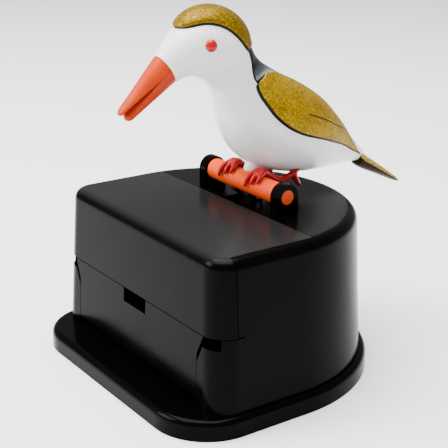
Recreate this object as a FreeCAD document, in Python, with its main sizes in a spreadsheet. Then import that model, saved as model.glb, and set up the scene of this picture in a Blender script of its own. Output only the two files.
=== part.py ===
import FreeCAD, Part
import math
import os

# Press-the-bird toothpick dispenser, in millimetres.
# Origin: on the underside of the base plate, at the centre of the box's rear half circle.
# +X runs along the perch to the bird's left, +Y points to the rear, +Z is up.
# The bird looks along -Y.

doc = FreeCAD.newDocument("ToothpickBird")
V = FreeCAD.Vector
X_AXIS = V(1, 0, 0)
Y_AXIS = V(0, 1, 0)
Z_AXIS = V(0, 0, 1)
FAR = 80.0   # a length that reaches past every piece, for cutting boxes

SIZES = [
    ("base_half_width", 43.0, "base plate, half of its width"),
    ("base_front", 37.0, "base plate, front edge ahead of the origin"),
    ("base_corner", 16.0, "base plate, radius of the front corners"),
    ("base_height", 5.5, "base plate, thickness"),
    ("base_edge", 1.8, "base plate, rounding of the upper edge"),
    ("box_half_width", 41.0, "box, half of its width at the bottom"),
    ("box_front", 27.6, "box, front wall ahead of the origin at the bottom"),
    ("box_corner", 6.5, "box, radius of the front corners"),
    ("box_top", 46.0, "box, level of the top surface"),
    ("box_draft", 0.047, "box, inward slope of the walls per mm of height"),
    ("box_edge", 3.0, "box, rounding of the top edge"),
    ("wall", 2.2, "thickness of the moulded walls"),
    ("seam_level", 25.7, "level of the seam across the front"),
    ("seam_gap", 0.22, "gap at the seams between the moulded pieces"),
    ("cover_rear", 5.0, "rear edge of the refill cover behind the origin"),
    ("cover_half_width", 36.4, "refill cover, half width of its top"),
    ("cover_lug_reach", 1.3, "hooks of the refill cover under the rear deck"),
    ("running_gap", 0.05, "radial clearance of running fits"),
    ("perch_y", 10.7, "perch axis behind the origin"),
    ("perch_z", 50.9, "level of the perch axis"),
    ("roller_radius", 3.0, "perch roller"),
    ("roller_half", 15.4, "perch roller, half of its length between the posts"),
    ("journal_radius", 2.0, "perch roller, end journals"),
    ("post_inner", 15.7, "inner face of a perch post from the centre"),
    ("post_width", 3.0, "perch post, width along the perch"),
    ("post_radius", 3.6, "perch post, radius of the arched top"),
    ("crank_radius", 3.7, "crank pin from the perch axis"),
    ("crank_angle", -75.3, "crank pin at rest, degrees above the rearward direction"),
    ("crank_pin_radius", 0.8, "crank pin"),
    ("cradle_y", -21.0, "cradle pivot"),
    ("cradle_z", 17.6, "cradle pivot"),
    ("cradle_arm", 10.0, "cradle's link pin from its pivot"),
    ("cradle_angle", -55.8, "link pin at rest, degrees above the rearward direction"),
    ("cradle_bottom", 8.0, "lower edge of the cradle's front panel"),
    ("cradle_half_width", 30.9, "front panel, half width below the pick notches"),
    ("cradle_top_half_width", 33.5, "front panel, half width at its upper edge"),
    ("cradle_pin_radius", 1.0, "cradle pivot rod"),
    ("notch_half_width", 5.75, "beak notch in the front panel"),
    ("notch_height", 4.2, "beak notch in the front panel"),
    ("pick_notch_height", 3.1, "corner notches for the toothpick ends"),
    ("bin_half_width", 34.5, "inside of the toothpick bin"),
    ("sheet_wall", 1.5, "thickness of the bin's walls"),
    ("link_half_width", 1.9, "pull link, half of its width"),
    ("link_thickness", 2.2, "pull link, thickness"),
    ("link_play", 0.8, "radial play of the pull link on the cradle's pin"),
    ("spring_y", 19.0, "return spring, axis behind the origin"),
    ("spring_low", 9.0, "return spring, lower end"),
    ("spring_high", 30.0, "return spring, upper end"),
    ("spring_radius", 2.0, "return spring, coil radius"),
    ("spring_wire", 0.35, "return spring, wire radius"),
    ("boss_radius", 3.0, "screw bosses in the box"),
    ("boss_circle", 36.0, "screw bosses from the origin"),
    ("screw_radius", 1.2, "base screws"),
    ("screw_head_radius", 2.2, "base screws, head"),
    ("screw_length", 11.0, "base screws, length under the head"),
    ("shell_wall", 1.5, "bird body, wall thickness"),
    ("skin_gap", 0.06, "gap between the bird's body and the pieces on it"),
    ("cap_skin", 1.0, "crest cap, thickness"),
    ("wing_skin", 1.0, "wings, thickness"),
    ("nape_skin", 0.45, "nape panel, thickness"),
    ("eye_radius", 1.75, "eye beads"),
    ("foot_x", 6.3, "feet from the centre"),
    ("toe_radius", 0.95, "toes"),
]

sheet = doc.addObject("Spreadsheet::Sheet", "Sizes")
for row, (alias, value, words) in enumerate(SIZES, start=1):
    sheet.set("A%d" % row, words)
    sheet.set("B%d" % row, str(value))
    sheet.setAlias("B%d" % row, alias)
doc.recompute()

NODES = []


def size(alias):
    """The value of one driving dimension."""
    return float(sheet.get(alias))


def bind(item, **expressions):
    """Bind properties to the sheet; a double underscore in a key stands for a dot."""
    for key, expression in expressions.items():
        item.setExpression(key.replace("__", "."), expression)
    return item


def place(item, x="0", y="0", z="0"):
    """Bind the position of an item to the sheet."""
    return bind(item, Placement__Base__x=x, Placement__Base__y=y, Placement__Base__z=z)


def turn(item, axis, angle):
    """Turn an item about an axis through its own origin."""
    item.Placement = FreeCAD.Placement(V(0, 0, 0), FreeCAD.Rotation(axis, angle))
    return item


def rod(name, radius, length, x, y, z):
    """A cylinder along +X that starts at x."""
    item = turn(doc.addObject("Part::Cylinder", name), Y_AXIS, 90)
    bind(item, Radius=radius, Height=length)
    return place(item, x, y, z)


def block(name, length, width, height, x, y, z):
    """A box with its lowest corner at x, y, z."""
    item = bind(doc.addObject("Part::Box", name), Length=length, Width=width, Height=height)
    return place(item, x, y, z)


def fuse(name, *items):
    item = doc.addObject("Part::MultiFuse", name)
    item.Shapes = list(items)
    return item


def cut(name, base, tool):
    item = doc.addObject("Part::Cut", name)
    item.Base = base
    item.Tool = tool
    return item


def node(item, label):
    """Hand an item in as a sub-part under its own label."""
    item.Label = label
    NODES.append(item)
    return item


def shape_node(label, shape):
    """Hand in a shape that was made with Part's own functions."""
    item = doc.addObject("Part::Feature", label)
    item.Shape = shape
    item.Placement = shape.Placement
    return node(item, label)


def solid_box(x, y, z):
    """A box between the pairs of limits x, y and z."""
    return Part.makeBox(x[1] - x[0], y[1] - y[0], z[1] - z[0], V(x[0], y[0], z[0]))


def rod_shape(radius, x_range, y, z):
    return Part.makeCylinder(radius, x_range[1] - x_range[0], V(x_range[0], y, z), X_AXIS)


def side_prism(points, x_range):
    """A closed outline of (y, z) points, pulled along X."""
    corners = [V(x_range[0], y, z) for y, z in points]
    face = Part.Face(Part.makePolygon(corners + corners[:1]))
    return face.extrude(V(x_range[1] - x_range[0], 0, 0))


def mirror_x(shape):
    return shape.mirror(V(0, 0, 0), X_AXIS)


def pair(label, shape):
    """Hand in a piece on the +X side and its mirror image."""
    shape_node(label + "_left", shape)
    shape_node(label + "_right", mirror_x(shape))


# ---------------------------------------------------------------- base plate

def base_plate():
    """D-shaped plate with an apron in front of the box, screwed on from below."""
    body = doc.addObject("PartDesign::Body", "BasePlate")
    sketch = body.newObject("Sketcher::SketchObject", "BaseOutline")
    plane = [item for item in body.Origin.OriginFeatures if item.Role == "XY_Plane"][0]
    sketch.AttachmentSupport = [(plane, "")]
    sketch.MapMode = "FlatFace"
    half = size("base_half_width")
    front = -size("base_front")
    corner = size("base_corner")
    inner = half - corner
    level = front + corner
    line, arc = Part.LineSegment, Part.ArcOfCircle
    quarter = math.pi / 2
    sketch.addGeometry([
        line(V(-inner, front, 0), V(inner, front, 0)),
        arc(Part.Circle(V(inner, level, 0), Z_AXIS, corner), -quarter, 0),
        line(V(half, level, 0), V(half, 0, 0)),
        arc(Part.Circle(V(0, 0, 0), Z_AXIS, half), 0, 2 * quarter),
        line(V(-half, 0, 0), V(-half, level, 0)),
        arc(Part.Circle(V(-inner, level, 0), Z_AXIS, corner), 2 * quarter, 3 * quarter),
    ], False)
    pad = body.newObject("PartDesign::Pad", "BasePad")
    pad.Profile = sketch
    bind(pad, Length="Sizes.base_height")
    doc.recompute()
    edges = ["Edge%d" % (i + 1) for i, edge in enumerate(pad.Shape.Edges)
             if edge.BoundBox.ZMin > size("base_height") - 0.01]
    rounding = body.newObject("PartDesign::Fillet", "BaseEdge")
    rounding.Base = (pad, edges)
    bind(rounding, Radius="Sizes.base_edge")
    doc.recompute()
    return body


def boss_places():
    """The four screw places: two beside the bin and two at the rear."""
    ring = size("boss_circle")
    rear = math.radians(50)
    return [(side * ring * width, ring * depth) for side in (-1, 1)
            for width, depth in ((1.0, -0.28), (math.cos(rear), math.sin(rear)))]


HEAD_HEIGHT = 1.6      # head of a base screw
HEAD_RECESS = 2.2      # counterbore in the base plate
ANCHOR_RADIUS = 1.1    # stub on the base plate that holds the spring


def base_node():
    body = base_plate()
    tools = []
    for x, y in boss_places():
        hole = Part.makeCylinder(size("screw_radius") + 0.15, FAR, V(x, y, -1))
        sink = Part.makeCylinder(size("screw_head_radius") + 0.2, HEAD_RECESS + 1, V(x, y, -1))
        tools += [hole, sink]
    shape = body.Shape.cut(tools)
    stub = Part.makeCylinder(ANCHOR_RADIUS, size("spring_low") - size("base_height") + 1.0,
                             V(0, size("spring_y"), size("base_height") - 0.5))
    shape_node("base_plate", shape.fuse(stub))


def base_screws():
    screws = []
    for x, y in boss_places():
        foot = HEAD_RECESS - HEAD_HEIGHT
        head = Part.makeCylinder(size("screw_head_radius"), HEAD_HEIGHT, V(x, y, foot))
        slot = solid_box((x - 1.7, x + 1.7), (y - 0.3, y + 0.3), (foot - 1, foot + 0.7))
        shank = Part.makeCylinder(size("screw_radius"), size("screw_length"), V(x, y, HEAD_RECESS - 0.2))
        screws.append(head.fuse(shank).cut(slot))
    shape_node("base_screws", Part.makeCompound(screws))


# ---------------------------------------------------------------- box

def box_outline(level, inset):
    """The box's D-shaped outline at one level, moved inward by inset."""
    lean = size("box_draft") * (level - size("base_height")) + inset
    half = size("box_half_width") - lean
    front = -size("box_front") + lean
    corner = max(size("box_corner") - inset, 1.0)
    bend = corner * (1 - math.sqrt(0.5))
    edges = [
        Part.makeLine(V(corner - half, front, level), V(half - corner, front, level)),
        Part.Arc(V(half - corner, front, level), V(half - bend, front + bend, level),
                 V(half, front + corner, level)).toShape(),
        Part.makeLine(V(half, front + corner, level), V(half, 0, level)),
        Part.Arc(V(half, 0, level), V(0, half, level), V(-half, 0, level)).toShape(),
        Part.makeLine(V(-half, 0, level), V(-half, front + corner, level)),
        Part.Arc(V(-half, front + corner, level), V(bend - half, front + bend, level),
                 V(corner - half, front, level)).toShape(),
    ]
    return Part.Wire(edges)


def box_solid(low, high, inset):
    return Part.makeLoft([box_outline(low, inset), box_outline(high, inset)], True, True)


def box_hollow():
    """The whole box as one shell, open at the bottom."""
    floor = size("base_height")
    outer = box_solid(floor, size("box_top"), 0.0)
    rim = [edge for edge in outer.Edges if edge.BoundBox.ZMin > size("box_top") - 0.01]
    outer = outer.makeFillet(size("box_edge"), rim)
    inner = box_solid(floor - 1, size("box_top") - 1.1 * size("wall"), size("wall"))
    return outer.cut(inner)


def cover_zone(play):
    """The part of the box that belongs to the refill cover, grown by play."""
    split = size("box_corner") - size("box_front") + 0.5
    front = solid_box((-FAR, FAR), (-FAR, split + play), (size("seam_level") - play, FAR))
    half = size("cover_half_width") + play
    top = solid_box((-half, half), (split - 1, size("cover_rear") + play),
                    (size("box_top") - 1.2 * size("wall"), FAR))
    return front.fuse(top)


def panel_outline(play):
    """The cradle's front panel seen from the front, as (x, z) points, grown by play."""
    low = size("cradle_bottom") - play
    high = size("seam_level") - PANEL_GAP + play
    waist = high - 5.5
    narrow = size("cradle_half_width") + play
    wide = size("cradle_top_half_width") + play
    return [(-narrow, low), (narrow, low), (narrow, waist), (wide, high), (-wide, high), (-narrow, waist)]


def front_prism(points, y_range):
    """A closed outline of (x, z) points, pulled along Y."""
    corners = [V(x, y_range[0], z) for x, z in points]
    face = Part.Face(Part.makePolygon(corners + corners[:1]))
    return face.extrude(V(0, y_range[1] - y_range[0], 0))


PANEL_GAP = 0.25       # seam between the cradle's panel and the cover above it
PANEL_DROP = 2.3       # room below the cradle's panel, which sinks as it swings out
SLOT_HALF = 4.6        # deck slot for the crank
SLOT_FRONT = 5.2       # from the perch axis forward
SLOT_REAR = 7.4        # from the perch axis rearward
TONGUE_HALF = 2.2      # tongue of a perch post, along Y
TONGUE_INSET = 0.7     # tongue inside the post's width
TONGUE_DEPTH = 5.0     # tongue below the deck


def tongue(play):
    """The tongue of the +X perch post, grown by play."""
    inner = size("post_inner") + TONGUE_INSET - play
    outer = size("post_inner") + size("post_width") - TONGUE_INSET + play
    return solid_box((inner, outer), (size("perch_y") - TONGUE_HALF - play, size("perch_y") + TONGUE_HALF + play),
                     (size("box_top") - TONGUE_DEPTH, size("box_top") + 0.2))


def case_shell(hollow):
    """Side walls, rear wall, rear deck and the frame round the cradle."""
    front_y = (-FAR, -size("box_front") + 9)
    seam = size("seam_level")
    play = size("seam_gap")
    pick_low = seam - size("pick_notch_height")
    shell = hollow.cut(cover_zone(play))
    doorway = front_prism(panel_outline(play), (-FAR, -size("box_front") + 6))
    lowered = doorway.translated(V(0, 0, -PANEL_DROP))
    shell = shell.cut([doorway, lowered])
    shell = shell.cut(solid_box((-FAR, FAR), front_y, (seam - 0.2, seam + play)))
    for side in (-1, 1):
        near = side * (size("cradle_half_width") + 0.8)
        far = side * (size("box_half_width") - 2.5)
        shell = shell.cut(solid_box((min(near, far), max(near, far)), (-FAR, 5 - size("box_front")),
                                    (pick_low, seam + play)))
    perch = size("perch_y")
    shell = shell.cut(solid_box((-SLOT_HALF, SLOT_HALF), (perch - SLOT_FRONT, perch + SLOT_REAR),
                                (size("box_top") - 10, FAR)))
    socket = tongue(0.04)
    shell = shell.cut([socket, mirror_x(socket)])
    height = 9.0
    floor = size("base_height")
    for x, y in boss_places():
        boss = Part.makeCylinder(size("boss_radius"), height, V(x, y, floor))
        pilot = Part.makeCylinder(size("screw_radius"), height - 1, V(x, y, floor - 0.5))
        inside = box_solid(floor, floor + height, size("wall") / 2)
        shell = shell.fuse(boss.common(inside)).cut(pilot)
    shape_node("case_shell", shell.removeSplitter())


def front_cover(hollow):
    """L-shaped refill cover, front half of the top and upper half of the front, with two hooks."""
    rear = size("cover_rear")
    under = size("box_top") - size("wall")
    root = solid_box((20.0, 26.0), (rear - 2.5, rear - 0.4), (under - 1.5, under + 0.5))
    hook = solid_box((20.0, 26.0), (rear - 2.5, rear + size("cover_lug_reach")), (under - 1.5, under - 0.15))
    plate = hollow.common(cover_zone(0.0))
    shape = plate.fuse([root, hook, mirror_x(root), mirror_x(hook)])
    shape_node("front_cover", shape.removeSplitter())


# ---------------------------------------------------------------- bin and cradle

def toothpick_bin():
    """Open-topped bin whose floor slopes down to the cradle, and carries its pivot rod."""
    inner = size("bin_half_width")
    thick = size("sheet_wall")
    top = size("box_top") - 1.1 * size("wall") - 3.0
    rear, front = 1.0, size("cradle_y") + 3.4
    floor_rear, floor_front = 27.0, 20.4
    cheek = side_prism([(rear, top), (rear, floor_rear - 4), (front, floor_front - 6.2),
                        (size("cradle_y") - 1.6, size("cradle_z") - 2.0),
                        (size("cradle_y") - 1.6, size("cradle_z") + 2.0), (front, floor_front + 3), (front, top)],
                       (inner, inner + thick))
    floor = side_prism([(rear, floor_rear), (front, floor_front), (front, floor_front - thick),
                        (rear, floor_rear - thick)], (-inner, inner))
    back = solid_box((-inner, inner), (rear - thick, rear), (floor_rear - thick, top))
    lug = solid_box((20.0, 28.0), (rear - thick, size("cover_rear") + 7), (top - thick, top))
    riser = solid_box((20.0, 28.0), (size("cover_rear") + 2.5, size("cover_rear") + 7),
                      (top - thick, size("box_top") - 1.1 * size("wall")))
    shape = floor.fuse([cheek, mirror_x(cheek), back, lug, mirror_x(lug), riser, mirror_x(riser)])
    hole = rod_shape(size("cradle_pin_radius"), (-FAR, FAR), size("cradle_y"), size("cradle_z"))
    bores = [Part.makeCylinder(0.9, 6.0, V(side * 24.0, size("cover_rear") + 4.7, top - 3)) for side in (-1, 1)]
    shape_node("toothpick_bin", shape.cut([hole] + bores).removeSplitter())


def bin_screws():
    screws = []
    low = size("box_top") - 1.1 * size("wall") - 3.0 - size("sheet_wall")
    for side in (-1, 1):
        foot = V(side * 24.0, size("cover_rear") + 4.7, low - 1.2)
        head = Part.makeCylinder(1.8, 1.2, foot)
        shank = Part.makeCylinder(0.85, 4.8, foot)
        screws.append(head.fuse(shank))
    shape_node("bin_screws", Part.makeCompound(screws))


def cradle_pin_place():
    angle = math.radians(size("cradle_angle"))
    return (size("cradle_y") + size("cradle_arm") * math.cos(angle),
            size("cradle_z") + size("cradle_arm") * math.sin(angle))


def pick_cradle():
    """Swinging front panel with a groove behind its upper edge that carries one toothpick."""
    seam = size("seam_level")
    thick = size("wall")
    outer = box_solid(size("base_height"), size("box_top"), 0.02)
    inner = box_solid(size("base_height") - 1, size("box_top") + 1, thick)
    outline = panel_outline(0.0)
    panel = outer.cut(inner).common(front_prism(outline, (-FAR, 6 - size("box_front"))))
    notch = solid_box((-size("notch_half_width"), size("notch_half_width")), (-FAR, 0),
                      (seam - size("notch_height"), FAR))
    y, z = size("cradle_y"), size("cradle_z")
    back = -size("box_front") + thick
    groove = side_prism([(back, z + 4.2), (back, z + 2.4), (y + 1.2, z + 1.6), (y + 1.9, z + 4.6),
                         (y + 0.6, z + 4.8), (y - 0.6, z + 3.4)], (-30.4, 30.4))
    arm = side_prism([(back, z + 2.8), (back, z - 2.4), (y + 1.6, z - 2.2), (y + 2.0, z + 2.4)], (25.0, 27.0))
    lever_y, lever_z = cradle_pin_place()
    lever = side_prism([(back, z + 2.6), (back, z - 3.4), (lever_y - 2.0, lever_z - 1.6),
                        (lever_y + 1.6, lever_z - 1.2), (lever_y + 2.0, lever_z + 1.4), (y + 2.2, z + 2.2)],
                       (2.4, 3.8))
    bore = rod_shape(size("cradle_pin_radius") + size("running_gap"), (-FAR, FAR), y, z)
    eye = rod_shape(size("cradle_pin_radius"), (-FAR, FAR), lever_y, lever_z)
    shape = panel.fuse([groove, arm, mirror_x(arm), lever, mirror_x(lever)])
    shape_node("pick_cradle", shape.cut([notch, bore, eye]).removeSplitter())


def cradle_pins():
    half = size("bin_half_width") + size("sheet_wall")
    node(rod("CradleRod", "Sizes.cradle_pin_radius", "2 * (Sizes.bin_half_width + Sizes.sheet_wall)",
             "-%g" % half, "Sizes.cradle_y", "Sizes.cradle_z"), "cradle_pivot_rod")
    node(rod("LinkPin", "Sizes.cradle_pin_radius", "8.4", "-4.2",
             "Sizes.cradle_y + Sizes.cradle_arm * cos(Sizes.cradle_angle * 1 deg)",
             "Sizes.cradle_z + Sizes.cradle_arm * sin(Sizes.cradle_angle * 1 deg)"), "link_pin")


# ---------------------------------------------------------------- perch, crank and link

def perch_posts():
    y, z = size("perch_y"), size("perch_z")
    near = size("post_inner")
    far = near + size("post_width")
    radius = size("post_radius")
    foot = solid_box((near, far), (y - radius, y + radius), (size("box_top") + 0.02, z))
    arch = rod_shape(radius, (near, far), y, z)
    bore = rod_shape(size("journal_radius") + size("running_gap"), (0, FAR), y, z)
    pair("perch_post", foot.fuse([arch, tongue(0.0)]).cut(bore).removeSplitter())


POCKET_HALF = 2.1      # pocket in the underside of the roller, for the link's eye
POCKET_ROOF = 1.7      # from the perch axis down
POCKET_FRONT = 1.3     # from the perch axis forward


def perch_roller():
    y, z = "Sizes.perch_y", "Sizes.perch_z"
    bar = rod("RollerBar", "Sizes.roller_radius", "2 * Sizes.roller_half", "-Sizes.roller_half", y, z)
    ends = rod("RollerJournals", "Sizes.journal_radius",
               "2 * (Sizes.post_inner + Sizes.post_width)", "-Sizes.post_inner - Sizes.post_width", y, z)
    pocket = block("RollerPocket", "%g" % (2 * POCKET_HALF), "8", "4", "-%g" % POCKET_HALF,
                   "Sizes.perch_y - %g" % POCKET_FRONT, "Sizes.perch_z - 4 - %g" % POCKET_ROOF)
    node(cut("PerchRoller", fuse("RollerBlank", bar, ends), pocket), "perch_roller")


def crank_place():
    angle = math.radians(size("crank_angle"))
    return (size("perch_y") + size("crank_radius") * math.cos(angle),
            size("perch_z") + size("crank_radius") * math.sin(angle))


def roller_band(x_range, low_angle, sweep):
    """A strip that hugs the roller between two angles, counted from the rear upward."""
    inner = size("roller_radius") + 0.01
    ring = Part.makeCylinder(inner + 0.9, x_range[1] - x_range[0], V(0, 0, 0), Z_AXIS, sweep)
    ring = ring.cut(Part.makeCylinder(inner, FAR))
    ring.rotate(V(0, 0, 0), Z_AXIS, low_angle)
    ring.rotate(V(0, 0, 0), V(1, 1, 1), 120)
    ring.translate(V(x_range[0], size("perch_y"), size("perch_z")))
    return ring


def crank_bracket():
    """Two lugs under the roller that hold the crank pin, joined by a strip behind it."""
    y, z = size("perch_y"), size("perch_z")
    pin_y, pin_z = crank_place()
    lug_range = (POCKET_HALF, 4.1)
    lobe = rod_shape(1.75, lug_range, pin_y, pin_z)
    lug = roller_band(lug_range, -135, 150).fuse(lobe)
    lug = lug.cut([rod_shape(size("roller_radius") + 0.01, (-FAR, FAR), y, z),
                   rod_shape(size("crank_pin_radius"), (-FAR, FAR), pin_y, pin_z)])
    bridge = roller_band((-POCKET_HALF, POCKET_HALF), -10, 25)
    shape_node("crank_bracket", lug.fuse([mirror_x(lug), bridge]).removeSplitter())
    node(rod("CrankPin", "Sizes.crank_pin_radius", "8.2", "-4.1",
             "Sizes.perch_y + Sizes.crank_radius * cos(Sizes.crank_angle * 1 deg)",
             "Sizes.perch_z + Sizes.crank_radius * sin(Sizes.crank_angle * 1 deg)"), "crank_pin")


def pull_link():
    """L-shaped link from the crank pin down behind the bin and forward to the cradle."""
    half = size("link_half_width")
    thick = size("link_thickness")
    top_y, top_z = crank_place()
    low_y, low_z = cradle_pin_place()
    bar_rear = top_y + thick / 2
    upright = solid_box((-half, half), (top_y - thick / 2, bar_rear), (low_z - thick / 2, top_z))
    foot = solid_box((-half, half), (low_y, bar_rear), (low_z - thick / 2, low_z + thick / 2))
    top_eye = rod_shape(1.6, (-half, half), top_y, top_z)
    hole_radius = size("cradle_pin_radius") + size("link_play")
    low_eye = rod_shape(hole_radius + 1.1, (-half, half), low_y, low_z)
    tab = solid_box((-half, half), (bar_rear - 0.5, size("spring_y") + 2.2),
                    (size("spring_high"), size("spring_high") + 1.6))
    holes = [rod_shape(size("crank_pin_radius") + size("running_gap"), (-FAR, FAR), top_y, top_z),
             rod_shape(hole_radius, (-FAR, FAR), low_y, low_z)]
    shape = upright.fuse([foot, top_eye, low_eye, tab]).cut(holes)
    shape_node("pull_link", shape.removeSplitter())


def return_spring():
    """Coil spring between the stub on the base plate and the link's tab."""
    low = size("spring_low") + 0.6 + size("spring_wire")
    high = size("spring_high") - size("spring_wire") - 0.1
    turns = 9
    path = Part.makeHelix((high - low) / turns, high - low, size("spring_radius"))
    circle = Part.Circle(V(size("spring_radius"), 0, 0), Y_AXIS, size("spring_wire"))
    coil = Part.Wire(path).makePipeShell([Part.Wire(circle.toShape())], True, True)
    coil.translate(V(0, size("spring_y"), low))
    shape_node("return_spring", coil)


# ---------------------------------------------------------------- bird

# Neck and trunk as round sections down the back: y, z and radius.
TRUNK = [(-1.0, 88.0, 8.4), (5.0, 81.8, 8.1), (10.0, 75.0, 9.8), (18.0, 67.8, 12.4),
         (26.0, 63.4, 12.0), (35.0, 59.4, 8.7), (43.5, 55.7, 5.1), (52.0, 52.2, 2.0)]
HEAD_CENTRE = V(0, -2.6, 89.8)
HEAD_RADII = (9.2, 11.6, 10.2)
BEAK_ROOT = V(0, -12.6, 86.6)
BEAK_TIP = V(0, -29.0, 74.9)


def trunk(grow):
    """Neck and trunk with all radii grown."""
    wires = []
    for index, (y, z, radius) in enumerate(TRUNK):
        before = TRUNK[max(index - 1, 0)]
        after = TRUNK[min(index + 1, len(TRUNK) - 1)]
        along = V(0, after[0] - before[0], after[1] - before[1])
        wires.append(Part.Wire(Part.Circle(V(0, y, z), along, radius + grow).toShape()))
    return Part.makeLoft(wires, True, False)


def head(grow):
    """Egg-shaped head with all radii grown."""
    ball = Part.makeSphere(1.0)
    matrix = FreeCAD.Matrix()
    matrix.scale(HEAD_RADII[0] + grow, HEAD_RADII[1] + grow, HEAD_RADII[2] + grow)
    ball = ball.transformGeometry(matrix)
    ball.translate(HEAD_CENTRE)
    return ball


def bird_solid(grow):
    return trunk(grow).fuse(head(grow))


def bird_halves(outer):
    """Two hollow white shells that meet on the centre plane."""
    shell = outer.cut(bird_solid(-size("shell_wall")))
    pair("bird_body", shell.common(solid_box((0.02, FAR), (-FAR, FAR), (0, 2 * FAR))))


def bird_skin(thickness, outline, x_range):
    """A thin piece that follows the bird's surface inside a side outline."""
    gap = size("skin_gap")
    zone = side_prism(outline, x_range)
    return bird_solid(gap + thickness).common(zone).cut(bird_solid(gap))


CAP_OUTLINE = [(-13.0, 97.6), (-11.5, 96.3), (-7.0, 96.5), (-2.0, 95.0), (1.0, 92.5), (4.6, 89.3),
               (7.3, 88.9), (11.0, 89.6), (16.0, 104.0), (-14.0, 104.0)]
NAPE_OUTLINE = [(4.9, 88.9), (5.8, 86.0), (6.6, 83.0), (7.5, 80.4), (11.7, 82.0), (19.0, 81.4),
                (17.0, 89.4), (11.0, 89.2), (7.4, 88.5)]
WING_OUTLINE = [(7.6, 79.9), (8.5, 77.3), (10.4, 74.6), (14.0, 71.2), (18.5, 67.7), (24.0, 64.7), (30.0, 62.1),
                (37.4, 59.4), (44.5, 55.9), (51.0, 52.5), (56.0, 51.0), (58.0, 56.0), (45.0, 70.0),
                (25.0, 86.0), (19.0, 80.8), (11.7, 81.4)]


def plumage():
    shape_node("crest_cap", bird_skin(size("cap_skin"), CAP_OUTLINE, (-FAR, FAR)))
    shape_node("nape_panel", bird_skin(size("nape_skin"), NAPE_OUTLINE, (-FAR, FAR)))
    pair("wing", bird_skin(size("wing_skin"), WING_OUTLINE, (0.04, FAR)))


def tail():
    """Flat tail that drops behind the trunk."""
    sections = [(50.6, 50.7, 2.9, 1.4), (59.0, 46.4, 3.4, 1.3), (67.8, 41.6, 2.6, 0.7)]
    wires = []
    for y, z, half_width, half_height in sections:
        ellipse = Part.Ellipse(V(0, 0, 0), half_width, half_height).toShape()
        wire = Part.Wire(ellipse)
        wire.rotate(V(0, 0, 0), X_AXIS, 62)
        wire.translate(V(0, y, z))
        wires.append(wire)
    blade = Part.makeLoft(wires, True, False)
    cover = size("skin_gap") + size("wing_skin") + 0.1
    shape_node("tail", blade.cut(trunk(cover)))


def beak(outer):
    """Upper and lower beak; the mouth opens into a fork at the tip."""
    along = BEAK_TIP - BEAK_ROOT
    length = along.Length
    along.normalize()
    across = along.cross(X_AXIS)
    wires = [Part.Wire(Part.Circle(BEAK_ROOT, along, 5.0).toShape()),
             Part.Wire(Part.Circle(BEAK_ROOT + along * (0.55 * length), along, 3.2).toShape()),
             Part.Wire(Part.Circle(BEAK_TIP, along, 1.7).toShape())]
    whole = Part.makeLoft(wires, True, False).cut(outer)
    start, mid, end = (BEAK_ROOT + along * step for step in (-6.0, 0.62 * length, length + 3.0))
    closed, opened = 0.06, 1.0
    high = [start + across * closed, mid + across * closed, end + across * opened]
    low = [start - across * closed, mid - across * closed, end - across * opened]
    upper = [(p.y, p.z) for p in high] + [(p.y, p.z) for p in (end + across * 20, start + across * 20)]
    lower = [(p.y, p.z) for p in low] + [(p.y, p.z) for p in (end - across * 20, start - across * 20)]
    for label, outline in (("beak_upper", upper), ("beak_lower", lower)):
        half = whole.common(side_prism(outline, (-FAR, FAR)))
        shape_node(label, max(half.Solids, key=lambda solid: solid.Volume))


def eyes(outer):
    centre = V(8.7, -7.0, 92.0)
    pair("eye", Part.makeSphere(size("eye_radius"), centre).cut(outer))


def saddle():
    """White wedge that joins the belly to the roller between the feet."""
    y, z = size("perch_y"), size("perch_z")
    wedge = side_prism([(y - 1.9, z + 2.0), (y - 1.9, z + 9.2), (y + 3.8, z + 5.2), (y + 3.8, z + 1.6)],
                       (-2.9, 2.9))
    roller = rod_shape(size("roller_radius") + 0.02, (-FAR, FAR), y, z)
    shape_node("belly_saddle", wedge.cut(roller))


def bent_rod(points, radius):
    """Round rods from point to point with a ball at each joint."""
    pieces = [Part.makeSphere(radius, point) for point in points]
    for start, end in zip(points, points[1:]):
        pieces.append(Part.makeCylinder(radius, (end - start).Length, start, end - start))
    return pieces


def foot(side):
    """Three toes over the front of the roller and a heel under the belly."""
    y, z, x = size("perch_y"), size("perch_z"), side * size("foot_x")
    toe = size("toe_radius")
    ring = size("roller_radius") + 1.4 * toe

    def on_ring(offset, angle):
        turned = math.radians(angle)
        return V(x + offset, y + ring * math.cos(turned), z + ring * math.sin(turned))

    knuckle = on_ring(0.0, 60)
    heel = V(x, y + 12.6, z + 0.2)
    claw = V(x, y + 14.0, z - 2.4)
    pieces = bent_rod([knuckle, heel, claw], toe)
    for spread in (-2.3, 0.0, 2.3):
        toes = [on_ring(spread * reach, angle) for reach, angle in ((0.0, 60), (0.6, 100), (1.0, 145), (1.0, 185))]
        pieces += bent_rod(toes, toe)
    return pieces[0].fuse(pieces[1:])


def feet():
    shape_node("foot_left", foot(1))
    shape_node("foot_right", foot(-1))


# ---------------------------------------------------------------- build and export

hollow_box = box_hollow()
base_node()
base_screws()
case_shell(hollow_box)
front_cover(hollow_box)
toothpick_bin()
bin_screws()
pick_cradle()
cradle_pins()
perch_posts()
perch_roller()
crank_bracket()
pull_link()
return_spring()
bird_outer = bird_solid(0.0)
bird_halves(bird_outer)
plumage()
tail()
beak(bird_outer)
eyes(bird_outer)
saddle()
feet()
doc.recompute()

for item in doc.Objects:
    if "Invalid" in item.State or "Error" in item.State:
        raise RuntimeError("%s failed: %s" % (item.Label, item.State))
for item in NODES:
    if item.Shape.isNull() or not item.Shape.isValid() or not item.Shape.Solids:
        raise RuntimeError("%s has no valid solid" % item.Label)
    print("%-22s %d solids %9.2f mm3" % (item.Label, len(item.Shape.Solids), item.Shape.Volume))

os.makedirs("parts", exist_ok=True)
for item in NODES:
    item.Shape.exportStep("parts/%s.step" % item.Label)
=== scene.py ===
import math

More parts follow.
